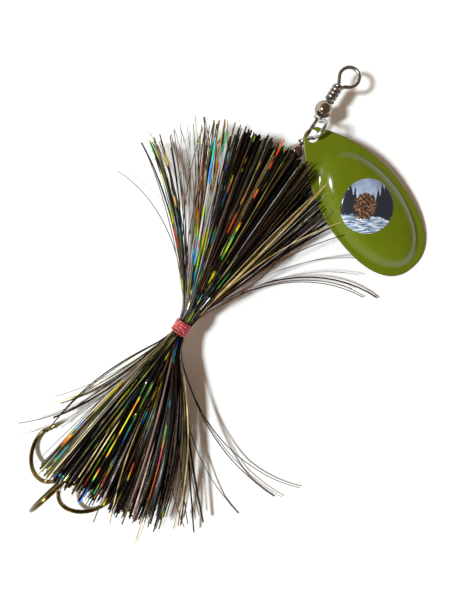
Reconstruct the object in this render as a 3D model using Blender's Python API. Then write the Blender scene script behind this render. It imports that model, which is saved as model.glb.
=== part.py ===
"""In-line spinner with a tinsel skirt: shaft along X, line tie forward (+X), hook aft, +Z up."""
import bpy
import math
import numpy as np

for old in list(bpy.data.objects):
    bpy.data.objects.remove(old, do_unlink=True)

MM = 0.001

# ---- driving sizes, mm ----
WIRE_D = 1.25
WIRE_R = WIRE_D / 2
EYE_IN_R = 2.88                      # line-tie eye, inside
EYE_C = (0.3, -1.5)
WRAP_R = WIRE_D + 0.1                # centre radius of the wrapped wire
WRAP_PITCH = WIRE_D + 0.2             # the turns never touch
WRAP_FRONT_X = -4.5                  # where the front wrap begins
WRAP_TURNS = 4
TAIL_TURNS = 3.38
REAR_EYE_IN_R = 2.2
BORE_R = WIRE_R + 0.11               # running clearance of a bead on the wire
BEAD_R = 2.6
BEAD_PITCH = 2 * BEAD_R + 0.2
FRONT_BEAD_R = 3.1
BODY_BEADS = 5
WEIGHT_R = 4.0
WEIGHT_L = 29.6
REAR_BEAD_R = BEAD_R - 0.2
TUBE_R = 1.75
TUBE_L = 14.6
TAIL_BEAD_R = 2.1
WAIST_R = TUBE_R + 0.75              # skirt where it is bound
BIND_R = WAIST_R + 0.85
BIND_HALF = 2.4
CLEVIS_HALF = 5.0                    # shaft centre of each ear from the clevis centre
EAR_HALF = 0.4
CLEVIS_R = 0.68
BEAD_GAP = 0.12                      # front bead to the wrap
CLEVIS_PLAY = 0.13                   # front bead to the front ear
CLEVIS_FLOAT = 0.9                   # rear ear to the stop bead
BODY_GAP = 1.3                       # end play of the pieces ahead of the weight
AFT_GAP = 1.1                        # weight to the rear bead
TUBE_GAP = 0.92                      # tube to the bead at either end
TAIL_GAP = 0.31                      # tail bead to the rear wrap


def bead_end(radius):
    """Flat end of a bored bead, from its centre."""
    return math.sqrt(radius ** 2 - BORE_R ** 2)


# ---- places along the shaft, each from the piece ahead of it ----
WRAP_REAR_X = WRAP_FRONT_X - WRAP_TURNS * WRAP_PITCH
FRONT_BEAD_X = WRAP_REAR_X - WIRE_R - BEAD_GAP - bead_end(FRONT_BEAD_R)
CLEVIS_X = FRONT_BEAD_X - bead_end(FRONT_BEAD_R) - CLEVIS_PLAY - EAR_HALF - CLEVIS_HALF
STOP_BEAD_X = CLEVIS_X - CLEVIS_HALF - EAR_HALF - CLEVIS_FLOAT - bead_end(BEAD_R)
LAST_BEAD_X = STOP_BEAD_X - BODY_BEADS * BEAD_PITCH
WEIGHT_FRONT_X = LAST_BEAD_X - bead_end(BEAD_R) - BODY_GAP
WEIGHT_X = (WEIGHT_FRONT_X - WEIGHT_L, WEIGHT_FRONT_X)
REAR_BEAD_X = WEIGHT_X[0] - AFT_GAP - bead_end(REAR_BEAD_R)
TUBE_FRONT_X = REAR_BEAD_X - bead_end(REAR_BEAD_R) - TUBE_GAP
TUBE_X = (TUBE_FRONT_X - TUBE_L, TUBE_FRONT_X)
TAIL_BEAD_X = TUBE_X[0] - TUBE_GAP - bead_end(TAIL_BEAD_R)
TAIL_WRAP_X = TAIL_BEAD_X - bead_end(TAIL_BEAD_R) - TAIL_GAP - WIRE_R
REAR_EYE_X = TAIL_WRAP_X - TAIL_TURNS * WRAP_PITCH - 3.5
BIND_C = TUBE_FRONT_X - 6.8
BIND_X = (BIND_C - BIND_HALF, BIND_C + BIND_HALF)

CLEVIS_LEAN = math.radians(27)
BLADE_L = 60.4                       # hole to tip
BLADE_W = 14.9                       # half width
BLADE_WIDEST = 33.4
BLADE_T = 0.9
BLADE_HOLE_R = CLEVIS_R + 1.52        # room for the clevis arch
LOBE_R = 4.4
LOBE_U = 1.75                        # lobe centre, ahead of the hole
DOME_H = 2.4                         # pressed step
DOME_CROWN = 3.0                     # and the crown above it
DOME_FLANK = 5.6
DOME_U = 33.3
DOME_HALF = BLADE_L - DOME_U - 2.3
RIM_W = 1.7
DECAL_R = 9.5
DECAL_UV = (30.4, -1.0)
BLADE_HOLE = (CLEVIS_X - 2.5, -1.9, 3.3)
BLADE_HEADING = math.radians(-106.1)
RING_R = 4.4
RING_WIRE = 0.32
HOOK_R = 0.75
HOOK_GAP_R = 10.1
HOOK_EYE = (REAR_EYE_X - 10.4, -3.2, 2.0)
HOOK_BEND = (REAR_EYE_X - 43.5, 5.8, 0.4)
REST_Z = HOOK_BEND[2] - HOOK_GAP_R - HOOK_R - 0.05   # the two lower hooks rest on the table
SKIRT_GAP = 0.45                     # clearance round whatever turns inside the skirt
BLADE_SWEEP_GAP = 1.5

BLADE_TILT = math.asin((BLADE_HOLE[2] - REST_Z - BLADE_T / 2 - 0.05) / BLADE_L)


# ---- helpers ----
def material(name, colour, metallic, roughness):
    mat = bpy.data.materials.new(name)
    mat.use_nodes = True
    shader = mat.node_tree.nodes["Principled BSDF"]
    shader.inputs["Base Color"].default_value = (*colour, 1)
    shader.inputs["Metallic"].default_value = metallic
    shader.inputs["Roughness"].default_value = roughness
    return mat


def signed_volume(mesh):
    mesh.calc_loop_triangles()
    total = 0.0
    for tri in mesh.loop_triangles:
        a, b, c = (mesh.vertices[i].co for i in tri.vertices)
        total += a.dot(b.cross(c))
    return total


def add(name, verts, faces, mat=None, helper=False):
    """Object from points in mm; a helper is a cutter or a piece of a union."""
    mesh = bpy.data.meshes.new(name)
    mesh.from_pydata([tuple(float(c) * MM for c in v) for v in verts], [], faces)
    mesh.update()
    if signed_volume(mesh) < 0:
        mesh.flip_normals()
    for poly in mesh.polygons:
        poly.use_smooth = True
    obj = bpy.data.objects.new(name, mesh)
    bpy.context.scene.collection.objects.link(obj)
    if mat:
        mesh.materials.append(mat)
    if helper:
        obj.hide_render = True
        obj.display_type = "WIRE"
    return obj


def boolean(obj, other, operation="DIFFERENCE"):
    mod = obj.modifiers.new(other.name, "BOOLEAN")
    mod.operation = operation
    mod.solver = "EXACT"
    mod.object = other


def unit(v):
    v = np.asarray(v, float)
    return v / np.linalg.norm(v)


def rings_to_mesh(rings, closed=False):
    """Skin a list of equal rings of points, capped with a fan unless the run is closed."""
    n = len(rings[0])
    verts = [p for ring in rings for p in ring]
    faces = []
    last = len(rings) if closed else len(rings) - 1
    for i in range(last):
        a, b = i * n, ((i + 1) % len(rings)) * n
        for k in range(n):
            m = (k + 1) % n
            faces.append((a + k, b + k, b + m, a + m))
    if not closed:
        faces.append(tuple(range(n)))
        faces.append(tuple((len(rings) - 1) * n + k for k in reversed(range(n))))
    return verts, faces


def sweep(points, radius, sides=8, closed=False):
    """Round wire along points, with parallel-transported frames."""
    pts = np.asarray(points, float)
    rad = np.broadcast_to(radius, (len(pts),))
    if closed:
        tan = np.roll(pts, -1, 0) - np.roll(pts, 1, 0)
    else:
        tan = np.gradient(pts, axis=0)
    tan = np.array([unit(t) for t in tan])
    side = np.cross(tan[0], (0.0, 0.0, 1.0))
    if np.linalg.norm(side) < 0.2:
        side = np.cross(tan[0], (0.0, 1.0, 0.0))
    side = unit(side)
    rings = []
    for p, t, r in zip(pts, tan, rad):
        side = unit(side - t * (side @ t))
        up = np.cross(t, side)
        turn = [2 * math.pi * k / sides for k in range(sides)]
        rings.append([p + r * (math.cos(a) * side + math.sin(a) * up) for a in turn])
    return rings_to_mesh(rings, closed)


def smooth_path(knots, per=6):
    """Catmull-Rom curve through the knots."""
    k = np.asarray(knots, float)
    k = np.vstack([2 * k[0] - k[1], k, 2 * k[-1] - k[-2]])
    out = []
    for i in range(1, len(k) - 2):
        for j in range(per):
            t = j / per
            a, b, c, d = k[i - 1:i + 3]
            out.append(0.5 * (2 * b + (c - a) * t + (2 * a - 5 * b + 4 * c - d) * t * t
                              + (3 * b - a - 3 * c + d) * t ** 3))
    out.append(k[-2])
    return np.array(out)


def turned(profile, steps=18):
    """Closed ring of (x, r) points turned about the X axis; the ring never touches the axis."""
    rings = []
    for i in range(steps):
        a = 2 * math.pi * i / steps
        rings.append([(x, r * math.cos(a), r * math.sin(a)) for x, r in profile])
    return rings_to_mesh(rings, closed=True)


def cylinder(centre, axis, radius, half, sides=24):
    axis = unit(axis)
    ends = [np.asarray(centre) - axis * half, np.asarray(centre) + axis * half]
    return sweep(ends, radius, sides)


def bead_profile(x, radius, bore, points=9):
    start = math.asin(bore / radius)
    angles = np.linspace(start, math.pi - start, points)
    return [(x - radius * math.cos(a), radius * math.sin(a)) for a in angles]


# ---- materials ----
DARK_STEEL = material("dark_steel", (0.2, 0.2, 0.21), 1, 0.25)
NICKEL = material("black_nickel", (0.3, 0.29, 0.28), 1, 0.15)
BRASS = material("brass", (0.75, 0.55, 0.2), 1, 0.3)
OLIVE = material("olive_enamel", (0.3, 0.4, 0.04), 0, 0.25)
DECAL = material("decal", (0.5, 0.62, 0.68), 0, 0.2)
BRONZE = material("bronzed_steel", (0.22, 0.17, 0.1), 1, 0.25)
TUBE = material("tube", (0.05, 0.05, 0.05), 0, 0.5)
THREAD = material("red_thread", (0.6, 0.02, 0.02), 0, 0.3)
TINSEL_A = material("tinsel_front", (0.06, 0.07, 0.06), 0.4, 0.3)
TINSEL_B = material("tinsel_rear", (0.05, 0.05, 0.05), 0.4, 0.3)


# ---- wire shaft: wrap, line-tie eye, straight run, rear eye, wrap ----
def wrap(x0, x1, start_angle, per_turn=12):
    turns = abs(x1 - x0) / WRAP_PITCH
    n = int(turns * per_turn)
    t = np.linspace(0, 1, n + 1)
    a = start_angle + t * turns * 2 * math.pi
    return np.column_stack([x0 + (x1 - x0) * t, WRAP_R * np.cos(a), WRAP_R * np.sin(a)])


def shaft_path():
    front = wrap(WRAP_REAR_X, WRAP_FRONT_X, math.pi - 2 * math.pi * WRAP_TURNS)
    rc = EYE_IN_R + WIRE_R
    loop = [(-3.6, -1.85, 0)]
    for deg in range(-140, 126, 14):
        a = math.radians(deg)
        loop.append((EYE_C[0] + rc * math.cos(a), EYE_C[1] + rc * math.sin(a), 0))
    loop += [(-2.9, 0.75, 0), (-4.4, 0.12, 0), (-6.0, 0, 0)]
    head = smooth_path([front[-1]] + loop, 2)[1:]
    rr = REAR_EYE_IN_R + WIRE_R
    back = REAR_EYE_X
    tail_knots = [(back + 4.6, 0, 0), (back + 3.0, 0, 0.25), (back + 2.2, 0, 1.2)]
    for deg in range(48, 306, 18):
        a = math.radians(deg)
        tail_knots.append((REAR_EYE_X + rr * math.cos(a), 0, rr * math.sin(a)))
    tail_knots += [(back + 2.3, 0, -1.75)]
    rear = wrap(REAR_EYE_X + 3.5, TAIL_WRAP_X, -math.pi / 2)
    tail = smooth_path(tail_knots + [tuple(rear[0])], 2)[:-1]
    straight = [(x, 0, 0) for x in np.linspace(-14, back + 11.2, 5)]
    return np.vstack([front, head, straight, tail, rear])


v, f = sweep(shaft_path(), WIRE_R, 8)
add("wire_shaft", v, f, DARK_STEEL)


# ---- beads and weight ----
def bead(name, x, radius):
    v, f = turned(bead_profile(x, radius, BORE_R))
    add(name, v, f, NICKEL)


bead("front_bead", FRONT_BEAD_X, FRONT_BEAD_R)
bead("stop_bead", STOP_BEAD_X, BEAD_R)
for i in range(BODY_BEADS):
    bead(f"body_bead_{i + 1}", STOP_BEAD_X - BEAD_PITCH * (i + 1), BEAD_R)
bead("rear_bead", REAR_BEAD_X, REAR_BEAD_R)
bead("tail_bead", TAIL_BEAD_X, TAIL_BEAD_R)

w0, w1 = WEIGHT_X
bullet = [(w0, BORE_R), (w0, WEIGHT_R - 0.8), (w0 + 0.8, WEIGHT_R)]
for t in np.linspace(0, 1, 7):
    x = w1 - 12 * (1 - t)
    bullet.append((x, WEIGHT_R - (WEIGHT_R - 1.9) * t ** 2.2))
bullet.append((w1, BORE_R))
v, f = turned(bullet, 20)
add("body_weight", v, f, BRASS)

v, f = turned([(TUBE_X[0], BORE_R), (TUBE_X[0], TUBE_R), (TUBE_X[1], TUBE_R), (TUBE_X[1], BORE_R)], 16)
add("skirt_tube", v, f, TUBE)


# ---- clevis ----
LEAN = np.array([0, -math.sin(CLEVIS_LEAN), math.cos(CLEVIS_LEAN)])


def clevis_point(x, n):
    return np.array([CLEVIS_X + x, 0, 0]) + LEAN * n


arch = [(-5.0, 1.05), (-4.75, 1.6), (-4.1, 2.1), (-3.5, 2.9), (-3.4, 4.3)]
for deg in range(160, 89, -14):
    a = math.radians(deg)
    arch.append((3.6 * math.cos(a), 4.9 + 3.6 * math.sin(a)))
arch += [(-x, n) for x, n in reversed(arch) if x < -0.3]
v, f = sweep(smooth_path([clevis_point(x, n) for x, n in arch], 2), CLEVIS_R, 8)
clevis = add("clevis", v, f, DARK_STEEL)
for sign in (-1, 1):
    centre = clevis_point(sign * CLEVIS_HALF, 0)
    v, f = cylinder(centre, (1, 0, 0), BORE_R + 0.865, EAR_HALF, 20)
    ear = add(f"ear_{'front' if sign > 0 else 'rear'}", v, f, helper=True)
    boolean(clevis, ear, "UNION")
v, f = cylinder(clevis_point(0, 0), (1, 0, 0), BORE_R, CLEVIS_HALF + 3, 16)
boolean(clevis, add("ear_bore", v, f, helper=True))


# ---- blade ----
def half_width(u):
    if u >= BLADE_WIDEST:
        t = (u - BLADE_WIDEST) / (BLADE_L - BLADE_WIDEST)
        return BLADE_W * max(0.0, 1 - t ** 2.38) ** (1 / 2.38)
    t = (BLADE_WIDEST - u) / (BLADE_WIDEST + 4.74)
    return BLADE_W * max(0.0, 1 - t ** 2.06) ** 0.9


def outline(n=60):
    """Pear outline in (u, v), hole at the origin, tip at +u, points spaced by arc length."""
    us = BLADE_L - (BLADE_L + LOBE_U) * (1 - np.cos(np.linspace(0, math.pi / 2, 400)))
    side = [(u, half_width(u)) for u in us if half_width(u) >= LOBE_R or u > BLADE_WIDEST]
    start = math.atan2(side[-1][1], side[-1][0] - LOBE_U)
    for a in np.linspace(start, math.pi, 24)[1:]:
        side.append((LOBE_U + LOBE_R * math.cos(a), LOBE_R * math.sin(a)))
    side = np.array(side)
    run = np.concatenate([[0], np.cumsum(np.linalg.norm(np.diff(side, axis=0), axis=1))])
    s = np.linspace(0, run[-1], n // 2 + 1)
    half = np.column_stack([np.interp(s, run, side[:, 0]), np.interp(s, run, side[:, 1])])
    half[0, 1] = half[-1, 1] = 0
    return np.vstack([half, half[-2:0:-1] * (1, -1)])


def dome(u, v):
    rho = max(math.hypot((u - DOME_U) / DOME_HALF, v / (BLADE_W - RIM_W)), 1e-6)
    inside = max(0.0, math.hypot(u - DOME_U, v) * (1 / rho - 1))
    step = 1 - (1 - min(inside / DOME_FLANK, 1)) ** 2.3
    return DOME_H * step ** 1.25 + DOME_CROWN * max(0.0, 1 - rho ** 2)


BLADE_U = np.array([math.cos(BLADE_TILT) * math.cos(BLADE_HEADING),
                    math.cos(BLADE_TILT) * math.sin(BLADE_HEADING), -math.sin(BLADE_TILT)])
BLADE_V = unit((-BLADE_U[1], BLADE_U[0], 0))
BLADE_N = np.cross(BLADE_U, BLADE_V)


def blade_point(u, v, w):
    return np.array(BLADE_HOLE) + BLADE_U * u + BLADE_V * v + BLADE_N * w


def plate(ring, centre, shares, low, high):
    """Two domed skins over a ring of (u, v), joined by an edge wall."""
    n = len(ring)
    verts, faces = [], []
    for side, w in ((0, high), (1, low)):
        base = len(verts)
        for share in shares:
            for p in ring:
                q = centre + (p - centre) * share
                verts.append(blade_point(q[0], q[1], dome(*q) + w))
        verts.append(blade_point(centre[0], centre[1], dome(*centre) + w))
        hub = len(verts) - 1
        for r in range(len(shares) - 1):
            for k in range(n):
                a, b = base + r * n + k, base + r * n + (k + 1) % n
                quad = (a, b, b + n, a + n)
                faces.append(quad if side == 0 else quad[::-1])
        last = base + (len(shares) - 1) * n
        for k in range(n):
            tri = (last + k, last + (k + 1) % n, hub)
            faces.append(tri if side == 0 else tri[::-1])
        if side == 0:
            under = len(verts)
    for k in range(n):
        m = (k + 1) % n
        faces.append((k, under + k, under + m, m))
    return verts, faces


v, f = plate(outline(), np.array([BLADE_WIDEST, 0.0]), (1, 0.95, 0.9, 0.85, 0.79, 0.72, 0.62, 0.48, 0.32, 0.16),
             -BLADE_T / 2, BLADE_T / 2)
blade = add("blade", v, f, OLIVE)
v, f = cylinder(BLADE_HOLE, BLADE_N, BLADE_HOLE_R, 4, 24)
boolean(blade, add("blade_hole", v, f, helper=True))

circle = [(DECAL_UV[0] + DECAL_R * math.cos(a), DECAL_UV[1] + DECAL_R * math.sin(a))
          for a in np.linspace(0, 2 * math.pi, 33)[:-1]]
v, f = plate(np.array(circle), np.array(DECAL_UV), (1, 0.75, 0.5, 0.25),
             BLADE_T / 2 + 0.25, BLADE_T / 2 + 0.53)
add("blade_decal", v, f, DECAL)


# ---- skirts ----
def loft(stations, sides=28):
    """Stations are x, y_right, y_left, z_low, z_high; the underside is flat at REST_Z."""
    rings = []
    for x, y0, y1, z0, z1 in stations:
        ring = []
        for k in range(sides):
            a = 2 * math.pi * k / sides
            y = (y0 + y1) / 2 + (y1 - y0) / 2 * math.cos(a)
            z = (z0 + z1) / 2 + (z1 - z0) / 2 * math.sin(a)
            ring.append((x, y, max(z, REST_Z)))
        rings.append(ring)
    return rings_to_mesh(rings)


def along(stations, most=6.0):
    """The same stations with more between them, none further apart than this."""
    out = [stations[0]]
    for a, b in zip(stations, stations[1:]):
        count = max(1, round(abs(b[0] - a[0]) / most))
        for i in range(1, count + 1):
            out.append(tuple(np.array(a) + (np.array(b) - np.array(a)) * i / count))
    return out


def from_binding(stations):
    return [(BIND_C + x, *rest) for x, *rest in stations]


FRONT = from_binding([
    (0.15, -WAIST_R, WAIST_R, -WAIST_R, WAIST_R), (2.6, -WAIST_R, WAIST_R, -WAIST_R, WAIST_R),
    (5.7, -4.2, 4.6, -3.9, 3.9), (15.2, -6.8, 12, -7.8, 7), (30.2, -10, 23, -12.5, 10),
    (43.2, -12, 35, -13, 11.5), (51.2, -13, 43, -13, 12), (67.2, -14, 41, -13, 12)])
REAR = from_binding([
    (-0.15, -WAIST_R, WAIST_R, -WAIST_R, WAIST_R), (-2.6, -WAIST_R, WAIST_R, -WAIST_R, WAIST_R),
    (-5.8, -4.6, 4.0, -3.9, 3.9), (-12.8, -9, 6, -7, 7), (-24.8, -14, 10, -12, 10),
    (-39.8, -23, 15, -12.5, 12), (-52.8, -31, 16, -12.5, 13), (-64.8, -37, 16, -12.5, 12)])


def revolve_cutter(name, profile, steps=32):
    v, f = turned(profile, steps)
    return add(name, v, f, helper=True)


def plug(name, steps, sides=24):
    rings = []
    for x, r in steps:
        rings.append([(x, r * math.cos(2 * math.pi * k / sides), r * math.sin(2 * math.pi * k / sides))
                      for k in range(sides)])
    v, f = rings_to_mesh(rings)
    return add(name, v, f, helper=True)


v, f = loft(along(FRONT))
front = add("skirt_front", v, f, TINSEL_A)
tube_gap = TUBE_R + 0.12
bead_gap = BEAD_R + SKIRT_GAP
weight_gap = WEIGHT_R + SKIRT_GAP
boolean(front, plug("front_bore", [
    (BIND_C - 1.3, tube_gap), (TUBE_FRONT_X + 0.2, tube_gap), (TUBE_FRONT_X + 0.4, bead_gap),
    (WEIGHT_X[0] - 0.6, bead_gap), (WEIGHT_X[0] - 0.5, weight_gap), (WEIGHT_X[1] + 0.6, weight_gap),
    (WEIGHT_X[1] + 0.7, bead_gap), (STOP_BEAD_X + 11, bead_gap)]))


def blade_back(radius):
    """Rearmost x that the blade reaches within this distance of the shaft."""
    reach = BLADE_HOLE[0] - LOBE_R
    for u, vv in outline(120):
        p = blade_point(u, vv, 0)
        if math.hypot(p[1], p[2]) <= radius:
            reach = min(reach, p[0])
    return reach


sweep_gap = [(-10.0, 0.4)]
for radius in (3.6, 6.0, 9.0, 12.0, 16.0, 20.0, 26.0, 34.0, 46.0):
    sweep_gap.append((blade_back(radius) - BLADE_SWEEP_GAP, radius))
sweep_gap.insert(1, (sweep_gap[1][0], 0.4))
sweep_gap.append((-10.0, 46.0))
boolean(front, revolve_cutter("blade_sweep", sweep_gap[::-1]))

v, f = loft(along(REAR))
rear = add("skirt_rear", v, f, TINSEL_B)
boolean(rear, plug("rear_bore", [
    (BIND_C + 1.2, tube_gap), (TUBE_X[0] + 0.4, tube_gap), (TUBE_X[0] + 0.2, TAIL_BEAD_R + 0.4),
    (TAIL_BEAD_X - 1.7, TAIL_BEAD_R + 0.4), (TAIL_BEAD_X - 2.3, WRAP_R + WIRE_R + 0.92),
    (REAR_EYE_X + 4.2, WRAP_R + WIRE_R + 2.2), (REAR_EYE_X + 1.2, REAR_EYE_IN_R + 3.2),
    (REAR_EYE_X - 3.8, REAR_EYE_IN_R + 3.6)]))
HOOK_ROOM = [(2.7, -4.6, 4.6, -4.2, 4.2), (-0.8, -7.5, 7, -6.8, 6.8), (-11.8, -12, 9.5, -8.2, 8.4),
             (-16.8, -14, 24, -14, 16), (-26.8, -19, 50, -24, 26), (-50.8, -21, 70, -24, 26)]
wide = HOOK_GAP_R / 10.1
rings = []
for x, y0, y1, z0, z1 in HOOK_ROOM:
    x += REAR_EYE_X
    rings.append([(x, y0 * wide, z0 * wide), (x, y1 * wide, z0 * wide), (x, y1 * wide, z1 * wide),
                  (x, y0 * wide, z1 * wide)])
v, f = rings_to_mesh(rings)
room = add("hook_room", v, f, helper=True)
boolean(rear, room)

thread = [(BIND_X[0], WAIST_R + 0.15), (BIND_X[0], BIND_R - 0.3)]
for i in range(7):
    x = BIND_X[0] + 0.3 + i * (BIND_X[1] - BIND_X[0] - 0.6) / 6
    thread.append((x - 0.1, BIND_R - 0.12 * (i % 2)))
thread += [(BIND_X[1], BIND_R - 0.25), (BIND_X[1], WAIST_R + 0.15)]
v, f = turned(thread, 24)
add("binding_thread", v, f, THREAD)


# ---- split ring ----
EYE_AXIS = unit(np.array(HOOK_BEND) - np.array(HOOK_EYE))
RING_FRONT = np.array([REAR_EYE_X - 1.35, 0, 0])
RING_BACK = np.array(HOOK_EYE) - EYE_AXIS * 0.95
RING_C = (RING_FRONT + RING_BACK) / 2
RING_E = unit(RING_BACK - RING_FRONT)
RING_S = unit(np.cross((0, 0, 1), RING_E))
RING_N = np.cross(RING_E, RING_S)
ring_r = np.linalg.norm(RING_BACK - RING_FRONT) / 2
coil = []
for i in range(57):
    a = 2 * math.pi * 1.92 * i / 56 + 1.9
    lift = 0.37 * math.tanh((i - 28) / 4.0)
    coil.append(RING_C + ring_r * (math.cos(a) * RING_E + math.sin(a) * RING_S) + RING_N * lift)
v, f = sweep(coil, RING_WIRE, 8)
add("split_ring", v, f, DARK_STEEL)

# ---- treble hook ----
BEND = np.array(HOOK_BEND)
EYE = np.array(HOOK_EYE)
UP = unit(np.array([0, 0, 1.0]) - EYE_AXIS * EYE_AXIS[2])
LEFT = np.cross(UP, EYE_AXIS)
eye_r = 1.9 + HOOK_R


def hook_path(e):
    path = [EYE + EYE_AXIS * (eye_r + 0.1) + e * 0.5]
    path += [EYE + EYE_AXIS * s + e * 0.68 for s in (eye_r + 2.5, 12, 24)]
    centre = BEND + e * HOOK_GAP_R
    for deg in range(0, 181, 15):
        a = math.radians(deg)
        rad = HOOK_GAP_R - 0.68 * math.cos(a / 2) ** 2
        path.append(centre - e * rad * math.cos(a) + EYE_AXIS * HOOK_GAP_R * math.sin(a))
    tip = BEND + e * (2 * HOOK_GAP_R - 2.6) - EYE_AXIS * 8.7
    for t in (0.25, 0.5, 0.75, 1.0):
        path.append(centre + e * HOOK_GAP_R + (tip - centre - e * HOOK_GAP_R) * t)
    return np.array(path)


def hook(name, e, helper):
    path = hook_path(e)
    radius = np.full(len(path), HOOK_R)
    radius[-3:] = (0.66, 0.42, 0.08)
    v, f = sweep(path, radius, 10)
    obj = add(name, v, f, None if helper else BRONZE, helper)
    along_point = unit(path[-1] - path[-5])
    root = path[-3]
    barb = [root - along_point * 0.4, root - along_point * 1.3 - e * 1.25]
    v, f = sweep([barb[0], (barb[0] + barb[1]) / 2, barb[1]], (0.45, 0.3, 0.06), 6)
    return obj, add(name + "_barb", v, f, helper=True)


arms = {"up": UP, "left": -UP * 0.5 - LEFT * math.sqrt(0.75), "right": -UP * 0.5 + LEFT * math.sqrt(0.75)}
treble, spike = hook("treble_hook", arms["up"], False)
boolean(treble, spike, "UNION")
for side in ("left", "right"):
    arm, spike = hook(f"arm_{side}", arms[side], True)
    boolean(treble, arm, "UNION")
    boolean(treble, spike, "UNION")
circle = [EYE + eye_r * (math.cos(a) * EYE_AXIS + math.sin(a) * UP)
          for a in np.linspace(0, 2 * math.pi, 25)[:-1]]
v, f = sweep(circle, HOOK_R, 8, closed=True)
boolean(treble, add("hook_eye", v, f, helper=True), "UNION")

# ---- joint centres: empties on the axes of the moving pieces ----
CROSS = clevis_point(-3.4, (BLADE_HOLE[2]) / LEAN[2])
for name, at in (("clevis_axis", clevis_point(0, 0)), ("blade_axis", CROSS),
                 ("ring_axis", RING_FRONT), ("hook_axis", RING_BACK)):
    empty = bpy.data.objects.new(name, None)
    empty.location = [float(c) * MM for c in at]
    bpy.context.scene.collection.objects.link(empty)
    empty.empty_display_size = 0.004
bpy.context.view_layer.update()
for child, axis in (("clevis", "clevis_axis"), ("blade", "blade_axis"), ("blade_decal", "blade_axis"),
                    ("split_ring", "ring_axis"), ("treble_hook", "hook_axis")):
    obj, empty = bpy.data.objects[child], bpy.data.objects[axis]
    obj.parent = empty
    obj.matrix_parent_inverse = empty.matrix_world.inverted()
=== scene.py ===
"""Tinsel-skirted in-line spinner: every CAD node is replaced by a finer piece that rides on the same body."""
import bpy
import math
import numpy as np
from mathutils import Matrix


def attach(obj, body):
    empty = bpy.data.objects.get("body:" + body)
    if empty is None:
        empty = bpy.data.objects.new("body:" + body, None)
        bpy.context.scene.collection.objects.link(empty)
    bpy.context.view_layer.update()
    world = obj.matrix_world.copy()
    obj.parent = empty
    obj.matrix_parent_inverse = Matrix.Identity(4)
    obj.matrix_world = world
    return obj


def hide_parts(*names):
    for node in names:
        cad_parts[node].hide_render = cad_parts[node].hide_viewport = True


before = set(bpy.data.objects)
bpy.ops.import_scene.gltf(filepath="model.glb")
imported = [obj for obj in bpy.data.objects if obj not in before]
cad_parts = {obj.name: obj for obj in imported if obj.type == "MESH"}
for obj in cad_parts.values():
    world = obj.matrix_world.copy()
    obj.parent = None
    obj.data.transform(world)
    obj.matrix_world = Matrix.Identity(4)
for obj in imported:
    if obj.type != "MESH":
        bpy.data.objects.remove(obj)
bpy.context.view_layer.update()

MM = 0.001
REST_Z = -10.5
rng = np.random.default_rng(7)


# ---------- node materials ----------
class Nodes:
    """A material's node tree, with short calls for the nodes used here."""

    def __init__(self, name, colour=(0.5, 0.5, 0.5), metallic=0.0, roughness=0.4, **sockets):
        self.mat = bpy.data.materials.new(name)
        self.mat.use_nodes = True
        self.tree = self.mat.node_tree
        self.shader = self.tree.nodes["Principled BSDF"]
        self.set("Base Color", (*colour, 1))
        self.set("Metallic", metallic)
        self.set("Roughness", roughness)
        for key, value in sockets.items():
            self.set(key.replace("_", " "), value)

    def set(self, socket, value):
        self.shader.inputs[socket].default_value = value

    def node(self, kind, **inputs):
        made = self.tree.nodes.new("ShaderNode" + kind)
        for key, value in inputs.items():
            target = made.inputs[key.replace("_", " ")] if isinstance(key, str) else made.inputs[key]
            self.feed(value, target)
        return made

    def feed(self, value, target):
        if isinstance(value, bpy.types.NodeSocket):
            self.tree.links.new(value, target)
        else:
            target.default_value = value

    def to(self, value, socket):
        self.feed(value, self.shader.inputs[socket])

    def math(self, op, a, b=0.0, clamp=False):
        made = self.tree.nodes.new("ShaderNodeMath")
        made.operation = op
        made.use_clamp = clamp
        self.feed(a, made.inputs[0])
        self.feed(b, made.inputs[1])
        return made.outputs[0]

    def mix(self, share, a, b):
        made = self.tree.nodes.new("ShaderNodeMix")
        made.data_type = "RGBA"
        self.feed(share, made.inputs["Factor"])
        self.feed(a if isinstance(a, bpy.types.NodeSocket) else (*a, 1), made.inputs[6])
        self.feed(b if isinstance(b, bpy.types.NodeSocket) else (*b, 1), made.inputs[7])
        return made.outputs[2]

    def ramp(self, value, *stops):
        made = self.tree.nodes.new("ShaderNodeValToRGB")
        while len(made.color_ramp.elements) < len(stops):
            made.color_ramp.elements.new(0.5)
        for element, (at, colour) in zip(made.color_ramp.elements, stops):
            element.position = at
            element.color = (*colour, 1) if len(colour) == 3 else colour
        self.feed(value, made.inputs[0])
        return made.outputs[0]

    def noise(self, scale, detail=3.0, where=None):
        made = self.tree.nodes.new("ShaderNodeTexNoise")
        made.inputs["Scale"].default_value = scale
        made.inputs["Detail"].default_value = detail
        self.feed(where or self.place(), made.inputs["Vector"])
        return made.outputs[0]

    def place(self):
        return self.node("TexCoord").outputs["Object"]

    def uv(self, name):
        made = self.tree.nodes.new("ShaderNodeUVMap")
        made.uv_map = name
        return made.outputs[0]

    def bump(self, height, strength, distance=0.0001):
        made = self.tree.nodes.new("ShaderNodeBump")
        made.inputs["Strength"].default_value = strength
        made.inputs["Distance"].default_value = distance
        self.feed(height, made.inputs["Height"])
        self.to(made.outputs[0], "Normal")


def grey(v):
    return (v, v, v)


def wire_steel(name, dark, light):
    m = Nodes(name, light, 1.0, 0.22)
    m.to(m.ramp(m.noise(900, 4), (0.3, dark), (0.7, light)), "Base Color")
    m.to(m.ramp(m.noise(2200, 3), (0.3, grey(0.16)), (0.8, grey(0.38))), "Roughness")
    m.bump(m.noise(3500, 2), 0.25, 0.00004)
    return m.mat


STEEL = wire_steel("steel_wire", (0.16, 0.15, 0.14), (0.42, 0.41, 0.4))
CLEVIS = wire_steel("clevis_steel", (0.3, 0.29, 0.28), (0.68, 0.67, 0.65))
RING = wire_steel("ring_steel", (0.25, 0.23, 0.2), (0.55, 0.52, 0.48))


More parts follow.
